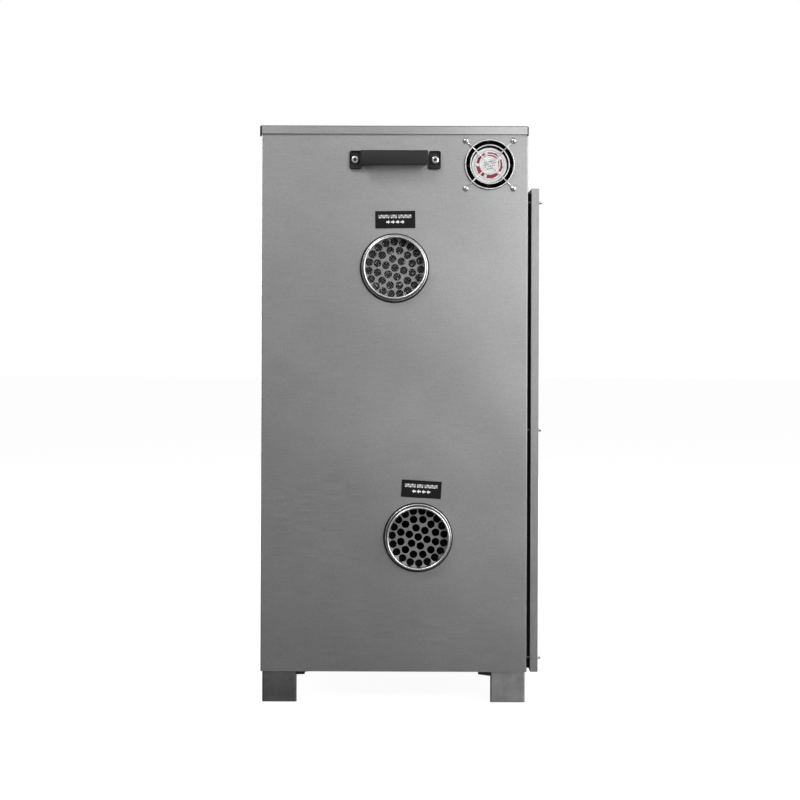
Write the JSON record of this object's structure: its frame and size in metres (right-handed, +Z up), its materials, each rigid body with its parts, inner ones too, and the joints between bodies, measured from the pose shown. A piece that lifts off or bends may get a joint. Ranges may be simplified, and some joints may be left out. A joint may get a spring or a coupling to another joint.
{
  "type": "desiccant rotor dehumidifier",
  "caption": "Free-standing stainless cabinet dehumidifier with a belt-driven desiccant rotor, two blowers, round duct collars, a lift-out filter and a screwed-on service cover.",
  "frame": {"origin": "on the floor under the middle of the overall length and width", "axes": "+Z up, +X the front with the service cover and controls, -Y the left side with the regeneration air inlet and wet air outlet"},
  "size_m": [0.4436, 0.596, 0.865],
  "materials": {
    "stainless_sheet": "brushed stainless sheet",
    "galvanised_sheet": "galvanised sheet steel",
    "bright_steel": "polished or zinc-plated steel",
    "aluminium": "machined aluminium",
    "black_plastic": "moulded black plastic",
    "white_plastic": "moulded white plastic",
    "green_plastic": "green moulded push button",
    "red_plastic": "red moulded mushroom head",
    "black_rubber": "black rubber or foam rubber",
    "label_film": "printed plastic film",
    "black_filter": "coarse black filter foam",
    "filter_media": "white pleated fibre",
    "desiccant": "silica gel on a ceramic-fibre honeycomb",
    "black_paint": "black stove paint",
    "motor_paint": "grey paint",
    "heater_steel": "heat-tinted steel tube"
  },
  "bodies": {
    "cabinet": {"base_tray": "galvanised_sheet", "left_panel": "stainless_sheet", "right_panel": "stainless_sheet", "rear_panel": "stainless_sheet", "front_frame": "stainless_sheet", "control_panel": "stainless_sheet", "top_lid": "stainless_sheet", "electrical_deck": "galvanised_sheet", "foot_front_left": "stainless_sheet", "foot_front_right": "stainless_sheet", "foot_rear_left": "stainless_sheet", "foot_rear_right": "stainless_sheet", "regen_inlet_collar": "bright_steel", "wet_outlet_collar": "bright_steel", "dry_outlet_collar": "bright_steel", "regen_inlet_screen": "stainless_sheet", "wet_outlet_screen": "stainless_sheet", "regen_inlet_filter": "black_filter", "regen_inlet_label": "label_film", "wet_outlet_label": "label_film", "left_handle": "black_plastic", "right_handle": "black_plastic", "left_handle_screw_1": "bright_steel", "left_handle_screw_2": "bright_steel", "cooling_fan_frame": "black_plastic", "cooling_fan_guard": "bright_steel", "cooling_fan_screw_1": "bright_steel", "cooling_fan_screw_2": "bright_steel", "cooling_fan_screw_3": "bright_steel", "cooling_fan_screw_4": "bright_steel", "rotor_cassette": "galvanised_sheet", "rotor_axle": "bright_steel", "drive_belt": "black_rubber", "gear_motor": "motor_paint", "process_blower_housing": "black_paint", "regen_blower_housing": "black_paint", "heater_box": "galvanised_sheet", "heater_element": "heater_steel", "regen_hood": "galvanised_sheet", "filter_holder": "stainless_sheet", "display_module": "black_plastic", "power_contactor": "white_plastic", "cable_gland": "black_plastic"},
    "cover": {"service_cover": "stainless_sheet", "cover_gasket": "black_rubber", "cover_screw_1": "bright_steel", "cover_screw_2": "bright_steel", "cover_screw_3": "bright_steel", "cover_screw_4": "bright_steel", "cover_screw_5": "bright_steel", "cover_screw_6": "bright_steel"},
    "rotor": {"desiccant_rotor": "desiccant"},
    "pulley": {"drive_pulley": "aluminium"},
    "process_wheel": {"process_blower_wheel": "galvanised_sheet"},
    "regen_wheel": {"regen_blower_wheel": "galvanised_sheet"},
    "fan_wheel": {"cooling_fan_wheel": "black_plastic"},
    "filter": {"process_filter": "filter_media"},
    "start": {"start_button": "green_plastic"},
    "switch": {"main_switch": "black_plastic"},
    "stop": {"emergency_stop": "red_plastic"}
  },
  "joints": [
    {"name": "service_cover_pull", "type": "slide", "parent": "cabinet", "child": "cover", "axis": [1, 0, 0], "range_m": [0, 0.15]},
    {"name": "filter_lift", "type": "slide", "parent": "cabinet", "child": "filter", "axis": [0, 0, 1], "range_m": [0, 0.255]},
    {"name": "rotor_spin", "type": "hinge", "parent": "cabinet", "child": "rotor", "pos_m": [-0.00425, 0, 0.45], "axis": [0, 0, 1], "continuous": true},
    {"name": "pulley_spin", "type": "hinge", "parent": "cabinet", "child": "pulley", "pos_m": [-0.15425, 0.2, 0.45], "axis": [0, 0, 1], "continuous": true},
    {"name": "process_fan_spin", "type": "hinge", "parent": "cabinet", "child": "process_wheel", "pos_m": [-0.00425, 0.1405, 0.59978], "axis": [1, 0, 0], "continuous": true},
    {"name": "regen_fan_spin", "type": "hinge", "parent": "cabinet", "child": "regen_wheel", "pos_m": [-0.03303, -0.144, 0.248], "axis": [0, 0, 1], "continuous": true},
    {"name": "cooling_fan_spin", "type": "hinge", "parent": "cabinet", "child": "fan_wheel", "pos_m": [0.13755, -0.228, 0.8075], "axis": [0, 1, 0], "continuous": true},
    {"name": "start_button_press", "type": "slide", "parent": "cabinet", "child": "start", "axis": [-1, 0, 0], "range_m": [0, 0.003], "stiffness_N_per_m": 800},
    {"name": "main_switch_turn", "type": "hinge", "parent": "cabinet", "child": "switch", "pos_m": [0.19575, 0.105, 0.812], "axis": [1, 0, 0], "range_deg": [0, 90]},
    {"name": "emergency_stop_press", "type": "slide", "parent": "cabinet", "child": "stop", "axis": [-1, 0, 0], "range_m": [0, 0.005], "stiffness_N_per_m": 1500}
  ],
  "couplings": [
    {"joint": "pulley_spin", "follows": "rotor_spin", "ratio": 7.8394}
  ]
}
